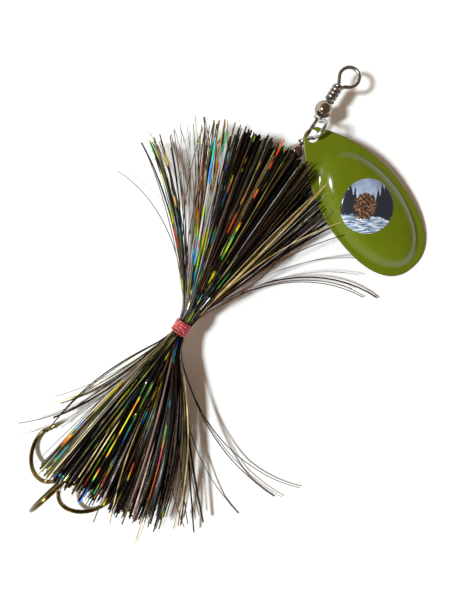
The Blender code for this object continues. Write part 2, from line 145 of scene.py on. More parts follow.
def bead_nickel():
    """Dark nickel plate, as bright as chrome but smoky."""
    m = Nodes("bead_nickel", (0.5, 0.47, 0.44), 1.0, 0.08)
    m.to(m.ramp(m.noise(260, 3), (0.35, (0.22, 0.17, 0.13)), (0.65, (0.5, 0.47, 0.44))), "Base Color")
    m.to(m.ramp(m.noise(1400, 4), (0.35, grey(0.05)), (0.8, grey(0.2))), "Roughness")
    m.bump(m.noise(1800, 2), 0.1, 0.00003)
    return m.mat


def weight_brass():
    """Turned brass with fine tool marks."""
    m = Nodes("weight_brass", (0.72, 0.5, 0.18), 1.0, 0.3)
    marks = m.node("TexWave", Scale=900, Distortion=0.6, Vector=m.place())
    m.to(m.ramp(m.noise(500, 4), (0.3, (0.5, 0.32, 0.1)), (0.7, (0.8, 0.58, 0.24))), "Base Color")
    m.bump(marks.outputs[1], 0.25, 0.00003)
    return m.mat


def tube_plastic():
    m = Nodes("tube_plastic", (0.03, 0.03, 0.03), 0.0, 0.5)
    m.bump(m.noise(2500, 3), 0.3, 0.00004)
    return m.mat


def hook_bronze():
    m = Nodes("hook_bronze", (0.2, 0.15, 0.05), 1.0, 0.2)
    m.to(m.ramp(m.noise(300, 4), (0.3, (0.05, 0.04, 0.015)), (0.55, (0.17, 0.13, 0.04)),
                (0.8, (0.55, 0.42, 0.13))), "Base Color")
    m.to(m.ramp(m.noise(1500, 3), (0.3, grey(0.12)), (0.8, grey(0.3))), "Roughness")
    m.bump(m.noise(2600, 2), 0.2, 0.00004)
    return m.mat


def olive_enamel():
    m = Nodes("olive_enamel", (0.15, 0.2, 0.006), 0.0, 0.3, Coat_Weight=0.12, Coat_Roughness=0.1,
              Specular_IOR_Level=0.32)
    m.to(m.mix(m.ramp(m.noise(90, 5), (0.35, grey(0)), (0.7, grey(1))),
               (0.11, 0.15, 0.003), (0.127, 0.172, 0.005)), "Base Color")
    m.to(m.ramp(m.noise(700, 3), (0.3, grey(0.16)), (0.8, grey(0.3))), "Roughness")
    m.bump(m.noise(420, 2), 0.1, 0.00006)
    return m.mat


def blade_edge():
    """The blade's rim faces, dark olive to brown, darker than the enamel face."""
    m = Nodes("blade_rim_brown", (0.2, 0.11, 0.03), 0.3, 0.45)
    m.to(m.ramp(m.noise(800, 3), (0.35, (0.08, 0.1, 0.008)), (0.65, (0.2, 0.095, 0.03))), "Base Color")
    m.bump(m.noise(2600, 2), 0.3, 0.00004)
    return m.mat


NICKEL = bead_nickel()
BRASS = weight_brass()
TUBE = tube_plastic()
BRONZE = hook_bronze()
ENAMEL = olive_enamel()
EDGE = blade_edge()


def decal_material():
    """A generic woodland and water picture under clear resin, in the decal's own coordinates."""
    m = Nodes("decal_picture", (0.6, 0.7, 0.75), 0.0, 0.25, Coat_Weight=0.8, Coat_Roughness=0.05)
    uv = m.uv("picture")
    split = m.node("SeparateXYZ", Vector=uv)
    x, y = split.outputs[0], split.outputs[1]
    side = m.math("ABSOLUTE", x)
    mist = m.noise(2.2, 4, uv)
    sky = m.mix(m.math("ADD", m.math("MULTIPLY", mist, 1.3), m.math("MULTIPLY", y, -0.35), True),
                (0.1, 0.17, 0.34), (0.6, 0.7, 0.86))
    far = m.math("ADD", m.math("MULTIPLY", m.noise(7, 5, uv), 0.9), m.math("MULTIPLY", side, 0.75))
    picture = m.mix(m.ramp(m.math("SUBTRACT", m.math("SUBTRACT", far, 0.25), y),
                           (0.4, grey(0)), (0.46, grey(1))), sky, (0.13, 0.2, 0.3))
    spikes = m.math("PINGPONG", x, 0.085)
    crown = m.math("ADD", m.math("MULTIPLY", side, 1.25), m.math("MULTIPLY", spikes, 5.0))
    crown = m.math("ADD", crown, m.math("MULTIPLY", m.noise(16, 4, uv), 0.5))
    picture = m.mix(m.ramp(m.math("SUBTRACT", crown, y), (0.6, grey(0)), (0.66, grey(1))),
                    picture, (0.012, 0.02, 0.035))
    streak = m.node("Mapping", Vector=uv)
    streak.inputs["Scale"].default_value = (1.2, 9.0, 1.0)
    streak.inputs["Rotation"].default_value = (0, 0, math.radians(-18))
    water = m.ramp(m.noise(3.0, 5, streak.outputs[0]), (0.38, (0.03, 0.06, 0.12)),
                   (0.52, (0.3, 0.42, 0.6)), (0.62, (0.85, 0.9, 0.95)))
    shore = m.math("ADD", m.math("MULTIPLY", m.noise(5, 4, uv), 0.6), m.math("MULTIPLY", x, -0.1))
    picture = m.mix(m.ramp(m.math("SUBTRACT", shore, m.math("ADD", y, 0.75)),
                           (0.0, grey(0)), (0.05, grey(1))), picture, water)
    across = m.math("POWER", m.math("ABSOLUTE", m.math("ADD", x, 0.05)), 2.0)
    upright = m.math("POWER", m.math("ABSOLUTE", m.math("ADD", y, 0.12)), 2.0)
    away = m.math("ADD", m.math("MULTIPLY", across, 3.2), m.math("MULTIPLY", upright, 2.4))
    away = m.math("ADD", away, m.math("MULTIPLY", m.noise(6, 5, uv), 0.9))
    rock = m.ramp(m.noise(11, 6, uv), (0.38, (0.012, 0.008, 0.008)), (0.52, (0.1, 0.05, 0.03)),
                  (0.66, (0.42, 0.24, 0.15)))
    picture = m.mix(m.ramp(away, (0.95, grey(1)), (1.03, grey(0))), picture, rock)
    m.to(picture, "Base Color")
    m.bump(m.noise(3, 2, uv), 0.1, 0.00005)
    return m.mat


def red_thread():
    """Varnished red thread with pale flecks where it catches the light."""
    m = Nodes("red_thread", (0.55, 0.02, 0.03), 0.0, 0.35, Coat_Weight=0.5, Coat_Roughness=0.15,
              Sheen_Weight=0.2)
    fleck = m.ramp(m.noise(1600, 4), (0.56, grey(0)), (0.7, grey(1)))
    red = m.ramp(m.noise(500, 4), (0.35, (0.3, 0.006, 0.015)), (0.7, (0.62, 0.03, 0.05)))
    m.to(m.mix(fleck, red, (0.9, 0.5, 0.5)), "Base Color")
    m.bump(m.noise(3200, 3), 0.5, 0.0001)
    return m.mat


PICTURE = decal_material()
THREAD = red_thread()


TONE_SCALE = 120.0      # noise cells to a metre of strand


def film(name, dark, light, metallic, roughness, specular=0.5):
    """Metallised film whose tone changes along each strand."""
    m = Nodes(name, light, metallic, roughness, Specular_IOR_Level=specular)
    strand_uv = m.uv("strand")
    m.to(m.ramp(m.noise(TONE_SCALE, 3, strand_uv), (0.36, dark), (0.64, light)), "Base Color")
    sheen = m.ramp(m.noise(TONE_SCALE * 3, 2, strand_uv),
                   (0.3, grey(roughness * 0.7)), (0.8, grey(roughness * 1.5)))
    m.to(sheen, "Roughness")
    m.bump(m.noise(1500, 2), 0.2, 0.00005)
    return m.mat


def hologram(name, unlit, share):
    """Film that breaks the light into patches of strong colour, over an unlit ground."""
    m = Nodes(name, unlit, 0.2, 0.22)
    strand_uv = m.uv("strand")
    hue = m.ramp(m.noise(60, 1, strand_uv), (0.28, (0.01, 0.06, 0.95)), (0.37, (0.0, 0.55, 0.95)),
                 (0.43, (0.02, 0.7, 0.12)), (0.48, (0.6, 0.95, 0.02)), (0.54, (1.0, 0.75, 0.02)),
                 (0.6, (1.0, 0.25, 0.02)), (0.7, (0.85, 0.02, 0.03)))
    lit = m.ramp(m.noise(110, 1, strand_uv), (share, grey(0.0)), (share + 0.06, grey(1.0)))
    m.to(m.mix(lit, unlit, hue), "Base Color")
    m.bump(m.noise(1500, 2), 0.2, 0.00005)
    return m.mat


FILMS = {
    "black": film("film_black", (0.0012, 0.0012, 0.0012), (0.006, 0.005, 0.004), 0.0, 0.32, specular=0.14),
    "umber": film("film_umber", (0.012, 0.005, 0.003), (0.14, 0.05, 0.018), 0.2, 0.35),
    "hologram": hologram("film_hologram", (0.01, 0.009, 0.008), 0.49),
    "pearl": hologram("film_pearl", (0.62, 0.6, 0.62), 0.46),
    "gold": film("film_gold", (0.4, 0.27, 0.07), (0.95, 0.78, 0.38), 0.25, 0.35),
    "olive": film("film_olive", (0.03, 0.033, 0.008), (0.24, 0.23, 0.06), 0.3, 0.35),
    "silver": film("film_silver", (0.16, 0.15, 0.15), (0.7, 0.69, 0.7), 0.35, 0.3),
    "bronze": film("film_bronze", (0.03, 0.014, 0.008), (0.2, 0.1, 0.05), 0.3, 0.35),
}


# ---------- mesh helpers, points in mm ----------
def unit(v):
    v = np.asarray(v, float)
    return v / np.linalg.norm(v)


def build(name, verts, faces, mats, body, stands_for=(), smooth=True, face_mats=None):
    mesh = bpy.data.meshes.new(name)
    mesh.from_pydata((np.asarray(verts, float) * MM).tolist(), [], faces)
    mesh.update()
    if signed_volume(mesh) < 0:
        mesh.flip_normals()
    for mat in mats:
        mesh.materials.append(mat)
    if face_mats is not None:
        mesh.polygons.foreach_set("material_index", face_mats)
    if smooth:
        mesh.shade_smooth()
    obj = bpy.data.objects.new(name, mesh)
    bpy.context.scene.collection.objects.link(obj)
    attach(obj, body)
    if stands_for:
        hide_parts(*stands_for)
    return obj


def signed_volume(mesh):
    mesh.calc_loop_triangles()
    co = np.empty(len(mesh.vertices) * 3)
    mesh.vertices.foreach_get("co", co)
    tri = np.empty(len(mesh.loop_triangles) * 3, np.int32)
    mesh.loop_triangles.foreach_get("vertices", tri)
    p = co.reshape(-1, 3)[tri.reshape(-1, 3)]
    return float(np.einsum("ij,ij->i", p[:, 0], np.cross(p[:, 1], p[:, 2])).sum())


def skin(rings, closed=False, base=0):
    n = len(rings[0])
    verts = np.asarray(rings, float).reshape(-1, 3)
    faces = []
    for i in range(len(rings) if closed else len(rings) - 1):
        a, b = i * n, ((i + 1) % len(rings)) * n
        for k in range(n):
            j = (k + 1) % n
            faces.append((base + a + k, base + b + k, base + b + j, base + a + j))
    if not closed:
        faces.append(tuple(base + k for k in range(n)))
        faces.append(tuple(base + (len(rings) - 1) * n + k for k in reversed(range(n))))
    return verts, faces


def frames(pts, closed=False):
    """Tangent, side and up at each point, carried along without twist."""
    tan = np.roll(pts, -1, 0) - np.roll(pts, 1, 0) if closed else np.gradient(pts, axis=0)
    tan /= np.linalg.norm(tan, axis=1)[:, None]
    side = np.cross(tan[0], (0, 0, 1))
    if np.linalg.norm(side) < 0.2:
        side = np.cross(tan[0], (0, 1, 0))
    sides = []
    for t in tan:
        side = unit(side - t * (side @ t))
        sides.append(side)
    sides = np.array(sides)
    return tan, sides, np.cross(tan, sides)


def sweep(points, radius, sides=16, closed=False):
    pts = np.asarray(points, float)
    rad = np.broadcast_to(radius, (len(pts),))[:, None, None]
    _, side, up = frames(pts, closed)
    a = np.arange(sides) * 2 * math.pi / sides
    outward = np.cos(a)[None, :, None] * side[:, None] + np.sin(a)[None, :, None] * up[:, None]
    return skin(pts[:, None] + rad * outward, closed)


def smooth_path(knots, per=6):
    k = np.asarray(knots, float)
    k = np.vstack([2 * k[0] - k[1], k, 2 * k[-1] - k[-2]])
    out = []
    for i in range(1, len(k) - 2):
        a, b, c, d = k[i - 1:i + 3]
        for t in np.arange(per) / per:
            out.append(0.5 * (2 * b + (c - a) * t + (2 * a - 5 * b + 4 * c - d) * t * t
                              + (3 * b - a - 3 * c + d) * t ** 3))
    out.append(k[-2])
    return np.array(out)


def turned(profile, steps=40):
    a = np.arange(steps) * 2 * math.pi / steps
    p = np.asarray(profile, float)
    rings = [np.column_stack([p[:, 0], p[:, 1] * math.cos(t), p[:, 1] * math.sin(t)]) for t in a]
    return skin(rings, closed=True)


# ---------- wire shaft, sizes and places in mm as in the CAD ----------
WIRE_R = 0.625
BORE_R = WIRE_R + 0.11
WRAP_R = 1.35
WRAP_PITCH = 1.45
WRAP_BACK_X = -10.3
WRAP_FRONT_X = -4.5
LINE_EYE = (0.3, -1.5)
LINE_EYE_R = 2.88 + WIRE_R
REAR_EYE_X = -127.2
REAR_EYE_R = 2.2 + WIRE_R
TAIL_WRAP_X = (-123.7, -118.8)


def wrap(x0, x1, start, per_turn=26):
    turns = abs(x1 - x0) / WRAP_PITCH
    t = np.linspace(0, 1, int(turns * per_turn) + 1)
    a = start + t * turns * 2 * math.pi
    return np.column_stack([x0 + (x1 - x0) * t, WRAP_R * np.cos(a), WRAP_R * np.sin(a)])


def shaft_path():
    """The whole bent wire: front wraps, line-tie eye, straight run, rear eye and tail wraps."""
    span = 2 * math.pi * (WRAP_FRONT_X - WRAP_BACK_X) / WRAP_PITCH
    front = wrap(WRAP_BACK_X, WRAP_FRONT_X, math.pi - span)
    loop = [(-3.6, -1.85, 0)]
    for deg in range(-140, 126, 14):
        a = math.radians(deg)
        loop.append((LINE_EYE[0] + LINE_EYE_R * math.cos(a), LINE_EYE[1] + LINE_EYE_R * math.sin(a), 0))
    loop += [(-2.9, 0.75, 0), (-4.4, 0.12, 0), (-6.0, 0, 0)]
    head = smooth_path([front[-1]] + loop, 4)[1:]
    knots = [(-122.6, 0, 0), (-124.2, 0, 0.25), (-125.0, 0, 1.2)]
    for deg in range(48, 306, 18):
        a = math.radians(deg)
        knots.append((REAR_EYE_X + REAR_EYE_R * math.cos(a), 0, REAR_EYE_R * math.sin(a)))
    knots += [(-124.9, 0, -1.75)]
    rear = wrap(*TAIL_WRAP_X, -math.pi / 2)
    tail = smooth_path(knots + [tuple(rear[0])], 4)[:-1]
    straight = [(x, 0, 0) for x in (-14, -40, -70, -100, -116)]
    return np.vstack([front, head, straight, tail, rear])


path = shaft_path()
taper = np.full(len(path), WIRE_R)
taper[[0, -1]] = WIRE_R * 0.8
v, f = sweep(path, taper, 16)
build("shaft_wire", v, f, [STEEL], "shaft", ["wire_shaft"])


# ---------- beads, weight, tube ----------
BEAD_R = 2.6
BEAD_PITCH = 2 * BEAD_R + 0.2
STOP_BEAD_X = -31.4
BODY_BEADS = 5
WEIGHT_R = 4.0
WEIGHT_X = (-91.8, -62.05)
TUBE_R = 1.75
TUBE_X = (-113.0, -98.4)
CHAMFER = 0.15


def bead(name, x, r):
    """Hollow metal bead with rolled rims round its bore. It rides on the body of its own name."""
    start = math.asin((BORE_R + 0.12) / r)
    edge = r * math.cos(start) - 0.12
    rim = ((edge, BORE_R), (edge + 0.06, BORE_R + 0.03))
    curve = [(x - r * math.cos(a), r * math.sin(a)) for a in np.linspace(start, math.pi - start, 30)]
    front = [(x - reach, radius) for reach, radius in rim]
    back = [(x + reach, radius) for reach, radius in reversed(rim)]
    v, f = turned(front + curve + back, 44)
    build(name + "_fine", v, f, [NICKEL], name, [name])


def weight():
    """Bullet with three turned grooves and a long tapering nose."""
    back, front = WEIGHT_X
    prof = [(back, BORE_R), (back, 2.9), (back + 0.2, 3.3), (back + 0.6, 3.75), (back + 1.2, 3.97),
            (back + 1.8, WEIGHT_R)]
    for x in (-87, -84, -81):
        prof += [(x - 0.35, WEIGHT_R), (x - 0.2, 3.82), (x + 0.2, 3.82), (x + 0.35, WEIGHT_R)]
    for t in np.linspace(0, 1, 16):
        prof.append((front - 0.15 - 12 * (1 - t), WEIGHT_R - 2.1 * t ** 2.2))
    prof += [(front, 1.6), (front, BORE_R)]
    v, f = turned(prof, 48)
    build("weight_fine", v, f, [BRASS], "body_weight", ["body_weight"])


def tube():
    back, front = TUBE_X
    v, f = turned([(back, BORE_R), (back, TUBE_R - CHAMFER), (back + CHAMFER, TUBE_R),
                   (front - CHAMFER, TUBE_R), (front, TUBE_R - CHAMFER), (front, BORE_R)], 32)
    build("tube_fine", v, f, [TUBE], "shaft", ["skirt_tube"])


bead("front_bead", -14.06, 3.1)
bead("stop_bead", STOP_BEAD_X, BEAD_R)
for i in range(BODY_BEADS):
    bead(f"body_bead_{i + 1}", STOP_BEAD_X - BEAD_PITCH * (i + 1), BEAD_R)
bead("rear_bead", -95.2, BEAD_R - 0.2)
bead("tail_bead", -115.9, 2.1)
weight()
tube()

# ---------- clevis ----------
CLEVIS_X = -22.6
CLEVIS_R = 0.68
CLEVIS_HALF = 5.0
CLEVIS_LEAN = math.radians(27)
EAR_HALF = 0.4
EAR_R = 1.6


def clevis():
    """Bent wire arch with a rolled loop at each end that turns on the shaft."""
    lean = np.array([0, -math.sin(CLEVIS_LEAN), math.cos(CLEVIS_LEAN)])
    arch = [(-CLEVIS_HALF, 1.05), (-4.75, 1.6), (-4.1, 2.1), (-3.5, 2.9), (-3.4, 4.3)]
    for deg in range(160, 89, -14):
        a = math.radians(deg)
        arch.append((3.6 * math.cos(a), 4.9 + 3.6 * math.sin(a)))
    arch += [(-x, n) for x, n in reversed(arch) if x < -0.3]
    pts = smooth_path([np.array([CLEVIS_X + x, 0, 0]) + lean * n for x, n in arch], 5)
    v, f = sweep(pts, CLEVIS_R, 16)
    build("clevis_arch", v, f, [CLEVIS], "clevis", ["clevis"])
    bore = WIRE_R + 0.065
    for side, x in (("front", CLEVIS_X + CLEVIS_HALF), ("rear", CLEVIS_X - CLEVIS_HALF)):
        half = [(EAR_HALF, bore), (EAR_HALF, EAR_R - 0.15), (EAR_HALF - 0.12, EAR_R)]
        front = [(x - reach, r) for reach, r in half]
        back = [(x + reach, r) for reach, r in reversed(half)]
        v, f = turned(front + back, 36)
        build(f"clevis_ear_{side}", v, f, [CLEVIS], "clevis")


clevis()

# ---------- blade ----------
HOLE = np.array([-25.1, -1.9, 3.3])
HOLE_R = 2.2
BLADE_L = 60.4              # from the hole's centre to the tip
BLADE_W = 14.9              # half the greatest width
WIDEST = 33.4               # where that is, from the hole
LOBE_R = 4.4                # the rounded end that the hole is in
LOBE_U = 1.75
BLADE_HALF_T = 0.45
DOME_U = 33.3
DOME_HALF = BLADE_L - DOME_U - 2.3
DOME_H = 2.4                # pressed step
DOME_CROWN = 3.0            # and the crown above it
DOME_FLANK = 5.6
HEADING = math.radians(-106.1)
TILT = math.asin((HOLE[2] - REST_Z - 0.5) / BLADE_L)
BU = np.array([math.cos(TILT) * math.cos(HEADING), math.cos(TILT) * math.sin(HEADING), -math.sin(TILT)])
BV = unit((-BU[1], BU[0], 0))
BN = np.cross(BU, BV)


def half_width(u):
    if u >= WIDEST:
        t = (u - WIDEST) / (BLADE_L - WIDEST)
        return BLADE_W * max(0.0, 1 - t ** 2.38) ** (1 / 2.38)
    t = (WIDEST - u) / (WIDEST + 4.74)
    return BLADE_W * max(0.0, 1 - t ** 2.06) ** 0.9


def outline(n):
    """n points at even steps round the blade, with the lobe as an arc."""
    us = BLADE_L - (BLADE_L + LOBE_U) * (1 - np.cos(np.linspace(0, math.pi / 2, 900)))
    side = [(u, half_width(u)) for u in us if half_width(u) >= LOBE_R or u > WIDEST]
    start = math.atan2(side[-1][1], side[-1][0] - LOBE_U)
    for a in np.linspace(start, math.pi, 40)[1:]:
        side.append((LOBE_U + LOBE_R * math.cos(a), LOBE_R * math.sin(a)))
    side = np.array(side)
    run = np.concatenate([[0], np.cumsum(np.linalg.norm(np.diff(side, axis=0), axis=1))])
    s = np.linspace(0, run[-1], n // 2 + 1)
    half = np.column_stack([np.interp(s, run, side[:, 0]), np.interp(s, run, side[:, 1])])
    half[0, 1] = half[-1, 1] = 0
    return np.vstack([half, half[-2:0:-1] * (1, -1)])


def dome(u, v):
    """Height of the pressed face: a steep flank inside the flat rim, then a crown."""
    rho = max(math.hypot((u - DOME_U) / DOME_HALF, v / (BLADE_W - 1.7)), 1e-6)
    inside = max(0.0, math.hypot(u - DOME_U, v) * (1 / rho - 1))
    step = 1 - (1 - min(inside / DOME_FLANK, 1)) ** 2.3
    return DOME_H * step ** 1.25 + DOME_CROWN * max(0.0, 1 - rho ** 2)


def on_blade(u, v, w):
    return HOLE + BU * u + BV * v + BN * w


def make_blade():
    """Two domed skins with a rounded rim, and the hole cut through the lobe."""
    n = 120
    ring = outline(n)
    hub = np.array([WIDEST, 0.0])
    shares = [1.0, 0.985, 0.965, 0.94, 0.91, 0.88, 0.85, 0.82, 0.78, 0.73, 0.67, 0.6, 0.5, 0.38, 0.25, 0.12]
    verts, faces, tags = [], [], []
    rim = [0.27, 0.4]       # half the thickness at the first shares, which rounds the edge
    for side in (1, -1):
        base = len(verts)
        for i, share in enumerate(shares):
            w = side * (rim[i] if i < len(rim) else BLADE_HALF_T)
            for p in ring:
                q = hub + (p - hub) * share
                verts.append(on_blade(q[0], q[1], dome(*q) + w))
        verts.append(on_blade(hub[0], hub[1], dome(*hub) + side * BLADE_HALF_T))
        top = len(verts) - 1
        for r in range(len(shares) - 1):
            for k in range(n):
                a, b = base + r * n + k, base + r * n + (k + 1) % n
                quad = (a, b, b + n, a + n)
                faces.append(quad if side == 1 else quad[::-1])
                tags.append(int(r == 0))
        last = base + (len(shares) - 1) * n
        for k in range(n):
            tri = (last + k, last + (k + 1) % n, top)
            faces.append(tri if side == 1 else tri[::-1])
            tags.append(0)
        if side == 1:
            under = len(verts)
    for k in range(n):
        j = (k + 1) % n
        faces.append((k, under + k, under + j, j))
        tags.append(1)
    obj = build("blade_plate", verts, faces, [ENAMEL, EDGE], "blade", ["blade"],
                face_mats=tags)
    v, f = sweep([on_blade(0, 0, -4), on_blade(0, 0, 4)], HOLE_R, 48)
    cut = bpy.data.objects.new("blade_hole", bpy.data.meshes.new("blade_hole"))
    cut.data.from_pydata((v * MM).tolist(), [], f)
    cut.data.update()
    if signed_volume(cut.data) < 0:
        cut.data.flip_normals()
    bpy.context.scene.collection.objects.link(cut)
    mod = obj.modifiers.new("hole", "BOOLEAN")
    mod.solver = "EXACT"
    mod.object = cut
    bpy.context.view_layer.update()
    done = bpy.data.meshes.new_from_object(obj.evaluated_get(bpy.context.evaluated_depsgraph_get()))
    obj.modifiers.clear()
    obj.data = done
    bpy.data.objects.remove(cut)


make_blade()

# ---------- decal ----------
DECAL_R = 9.5
DECAL_UV = (30.4, -1.0)
RIGHT = np.array([0.5435, -0.8394, 0])
UPWARD = np.array([0.8394, 0.5435, 0])


def make_decal():
    """Thin disc that follows the dome, with the picture laid on it the right way up."""
    n = 64
    verts, faces, uvs = [], [], []
    middle = on_blade(*DECAL_UV, 0)
    shares = [1, 0.985, 0.96, 0.9, 0.8, 0.65, 0.5, 0.33, 0.16]
    lift = [0.18, 0.3, 0.38, 0.42, 0.44, 0.46, 0.47, 0.48, 0.48]
    for side in (1, 0):
        base = len(verts)
        for i, share in enumerate(shares):
            for a in np.arange(n) * 2 * math.pi / n:
                u = DECAL_UV[0] + DECAL_R * share * math.cos(a)
                w = DECAL_UV[1] + DECAL_R * share * math.sin(a)
                p = on_blade(u, w, dome(u, w) + BLADE_HALF_T + (lift[i] if side else 0.1))
                verts.append(p)
                uvs.append(((p - middle) @ RIGHT / DECAL_R, (p - middle) @ UPWARD / DECAL_R))
        u, w = DECAL_UV
        verts.append(on_blade(u, w, dome(u, w) + BLADE_HALF_T + (lift[-1] if side else 0.1)))
        uvs.append((0, 0))
        hub = len(verts) - 1
        for r in range(len(shares) - 1):
            for k in range(n):
                a, b = base + r * n + k, base + r * n + (k + 1) % n
                quad = (a, b, b + n, a + n)
                faces.append(quad if side else quad[::-1])
        last = base + (len(shares) - 1) * n
        for k in range(n):
            tri = (last + k, last + (k + 1) % n, hub)
            faces.append(tri if side else tri[::-1])
        if side:
            under = len(verts)
    for k in range(n):
        faces.append((k, under + k, under + (k + 1) % n, (k + 1) % n))
    obj = build("decal_disc", verts, faces, [PICTURE], "blade", ["blade_decal"])
    layer = obj.data.uv_layers.new(name="picture")
    index = np.empty(len(obj.data.loops), np.int32)
    obj.data.loops.foreach_get("vertex_index", index)
    layer.data.foreach_set("uv", np.array(uvs)[index].astype(np.float32).ravel())


make_decal()


# ---------- split ring and treble hook ----------
EYE = np.array([-137.6, -3.2, 2.0])
BEND = np.array([-170.7, 5.8, 0.4])
SHANK = unit(BEND - EYE)
RING_WIRE_R = 0.32
RING_TURNS = 1.92
COIL_LIFT = 0.37            # half the step from one coil to the next


def split_ring():
    """Nearly two turns that lie side by side, with one step across between them."""
    front = np.array([REAR_EYE_X - 1.35, 0, 0])
    back = EYE - SHANK * 0.95
    centre = (front + back) / 2
    ahead = unit(back - front)
    side = unit(np.cross((0, 0, 1), ahead))
    normal = np.cross(ahead, side)
    radius = np.linalg.norm(back - front) / 2
    coil = []
    steps = 140
    for i in range(steps + 1):
        a = 2 * math.pi * RING_TURNS * i / steps + 1.9
        coil.append(centre + radius * (math.cos(a) * ahead + math.sin(a) * side)
                    + normal * COIL_LIFT * math.tanh((i - steps / 2) / 10.0))
    v, f = sweep(coil, RING_WIRE_R, 12)
    build("ring_coil", v, f, [RING], "split_ring", ["split_ring"])


split_ring()
UP = unit(np.array([0, 0, 1.0]) - SHANK * SHANK[2])
LEFT = np.cross(UP, SHANK)
HOOK_R = 0.75
GAP_R = 10.1                # the bend's radius, so the hook's gap is twice this
HOOK_EYE_R = 1.9 + HOOK_R
ROOT_OUT = 0.68             # how far each shank's axis stands from the middle of the three


def hook_path(e):
    """Shank, half-round bend and point of the arm that lies towards e."""
    path = [EYE + SHANK * (HOOK_EYE_R + 0.1) + e * 0.5]
    path += [EYE + SHANK * s + e * ROOT_OUT for s in (HOOK_EYE_R + 2.5, 12, 24)]
    centre = BEND + e * GAP_R
    for deg in range(0, 181, 15):
        a = math.radians(deg)
        rad = GAP_R - ROOT_OUT * math.cos(a / 2) ** 2
        path.append(centre - e * rad * math.cos(a) + SHANK * GAP_R * math.sin(a))
    tip = BEND + e * (2 * GAP_R - 2.6) - SHANK * 8.7
    for t in (0.25, 0.5, 0.75, 1.0):
        path.append(centre + e * GAP_R + (tip - centre - e * GAP_R) * t)
    return np.array(path)


def treble():
    """Three arms 120 degrees apart, each tapered to its point, and the eye that joins them."""
    arms = {"up": UP, "left": -UP * 0.5 - LEFT * math.sqrt(0.75), "right": -UP * 0.5 + LEFT * math.sqrt(0.75)}
    tapered = 14            # points of the path that the taper runs over
    for name, e in arms.items():
        knots = hook_path(e)
        path = smooth_path(knots, 4)
        run = np.linalg.norm(path - path[-1], axis=1)
        last = np.arange(len(path)) > len(path) - tapered
        radius = np.where(last, np.clip(0.04 + run * 0.17, 0.04, HOOK_R), HOOK_R)
        v, f = sweep(path, radius, 16)
        stands = ["treble_hook"] if name == "up" else []
        build(f"hook_{name}", v, f, [BRONZE], "treble", stands)
        way = unit(path[-1] - path[-tapered])
        root = knots[-3]
        barb = [root - way * 0.2, root - way * 0.8 - e * 0.6, root - way * 1.5 - e * 1.3]
        v, f = sweep(barb, (0.5, 0.32, 0.04), 10)
        build(f"barb_{name}", v, f, [BRONZE], "treble")
    turn = np.linspace(0, 2 * math.pi, 49)[:-1]
    circle = [EYE + HOOK_EYE_R * (math.cos(a) * SHANK + math.sin(a) * UP) for a in turn]
    v, f = sweep(circle, HOOK_R, 16, closed=True)
    build("hook_eye", v, f, [BRONZE], "treble")


treble()


# ---------- red binding ----------
def binding():
    """A ground layer of thread, one over it and crossing turns on top, as one wound piece each."""
    x0, x1 = -107.55, -102.85
    layers = (("binding_under", 2.68, 11, 0.0, 1),
              ("binding_over", 2.98, 9, 1.0, 1),
              ("binding_cross", 3.08, 4, 2.1, -1))
    for name, r, turns, phase, way in layers:
        t = np.linspace(0, 1, turns * 30)
        a = phase + way * t * turns * 2 * math.pi
        wobble = 0.08 * np.sin(a * 0.37 + phase) + 0.05 * np.sin(a * 1.7)
        x = x0 + 0.2 + (x1 - x0 - 0.4) * t + 0.12 * np.sin(a * 0.5 + phase)
        out = r + wobble
        v, f = sweep(np.column_stack([x, out * np.cos(a), out * np.sin(a)]), 0.27, 8)
        stands = ["binding_thread"] if name == "binding_under" else []
        build(name, v, f, [THREAD], "shaft", stands)


binding()


# ---------- tinsel ----------
FILM_HALF = 0.03            # half the film's thickness
ROOT_R = 2.35               # the bundle's radius where it leaves the binding
# The outside of the weight and beads that the front strands lie round, as (x, radius).
CORE = ((-98.5, 1.9), (-97.0, 2.9), (-93.5, 2.9), (-91.9, 4.4), (-75.0, 4.4), (-62.0, 3.0), (-33.0, 2.9),
        (-30.0, 0.0))


def clear_of_core(pts):
    """Lifts a strand over, or drops it under, the weight and beads that it would run through."""
    need = np.interp(pts[:, 0], [c[0] for c in CORE], [c[1] for c in CORE]) + 0.2 * rng.random()
    if pts[-1, 0] < -105:
        need[:] = 0.0
    way = 1.0 if pts[-1, 2] > -1.5 else -1.0
    inside = np.hypot(pts[:, 1], pts[:, 2]) < need
    rise = np.sqrt(np.maximum(need ** 2 - pts[:, 1] ** 2, 0.0)) * way
    lift = np.where(inside, rise - pts[:, 2], 0.0)
    pts[:, 2] += np.convolve(np.pad(lift, 1, mode="edge"), (0.25, 0.5, 0.25), mode="valid")
    return pts


def strand(start, yaw, rise, length, droop, way):
    """Centre line of one strand. yaw is (at the root, at the tip) in radians, towards +Y.
    way is +1 forward and -1 aft."""
    steps = 18
    t = np.linspace(0, 1, steps)
    opened = np.clip(t * 9, 0, 1)
    turn = (yaw[0] + (yaw[1] - yaw[0]) * t ** 1.4) * (0.5 + 0.5 * opened)
    pitch = rise * (0.45 + 0.55 * opened) - droop * t
    d = np.column_stack([way * np.cos(pitch) * np.cos(turn), np.cos(pitch) * np.sin(turn), np.sin(pitch)])
    pts = start + np.vstack([np.zeros(3), np.cumsum(d[:-1] * length / (steps - 1), axis=0)])
    inner = start - np.array([way * 2.5, 0.0, 0.0])
    pts = clear_of_core(np.vstack([inner, (inner + start) / 2, pts]))
    lowest = REST_Z + 0.2 + rng.random() * 1.5
    low = pts[:, 2] < lowest
    pts[low, 2] = lowest + (pts[low, 2] - lowest) * 0.03
    return pts


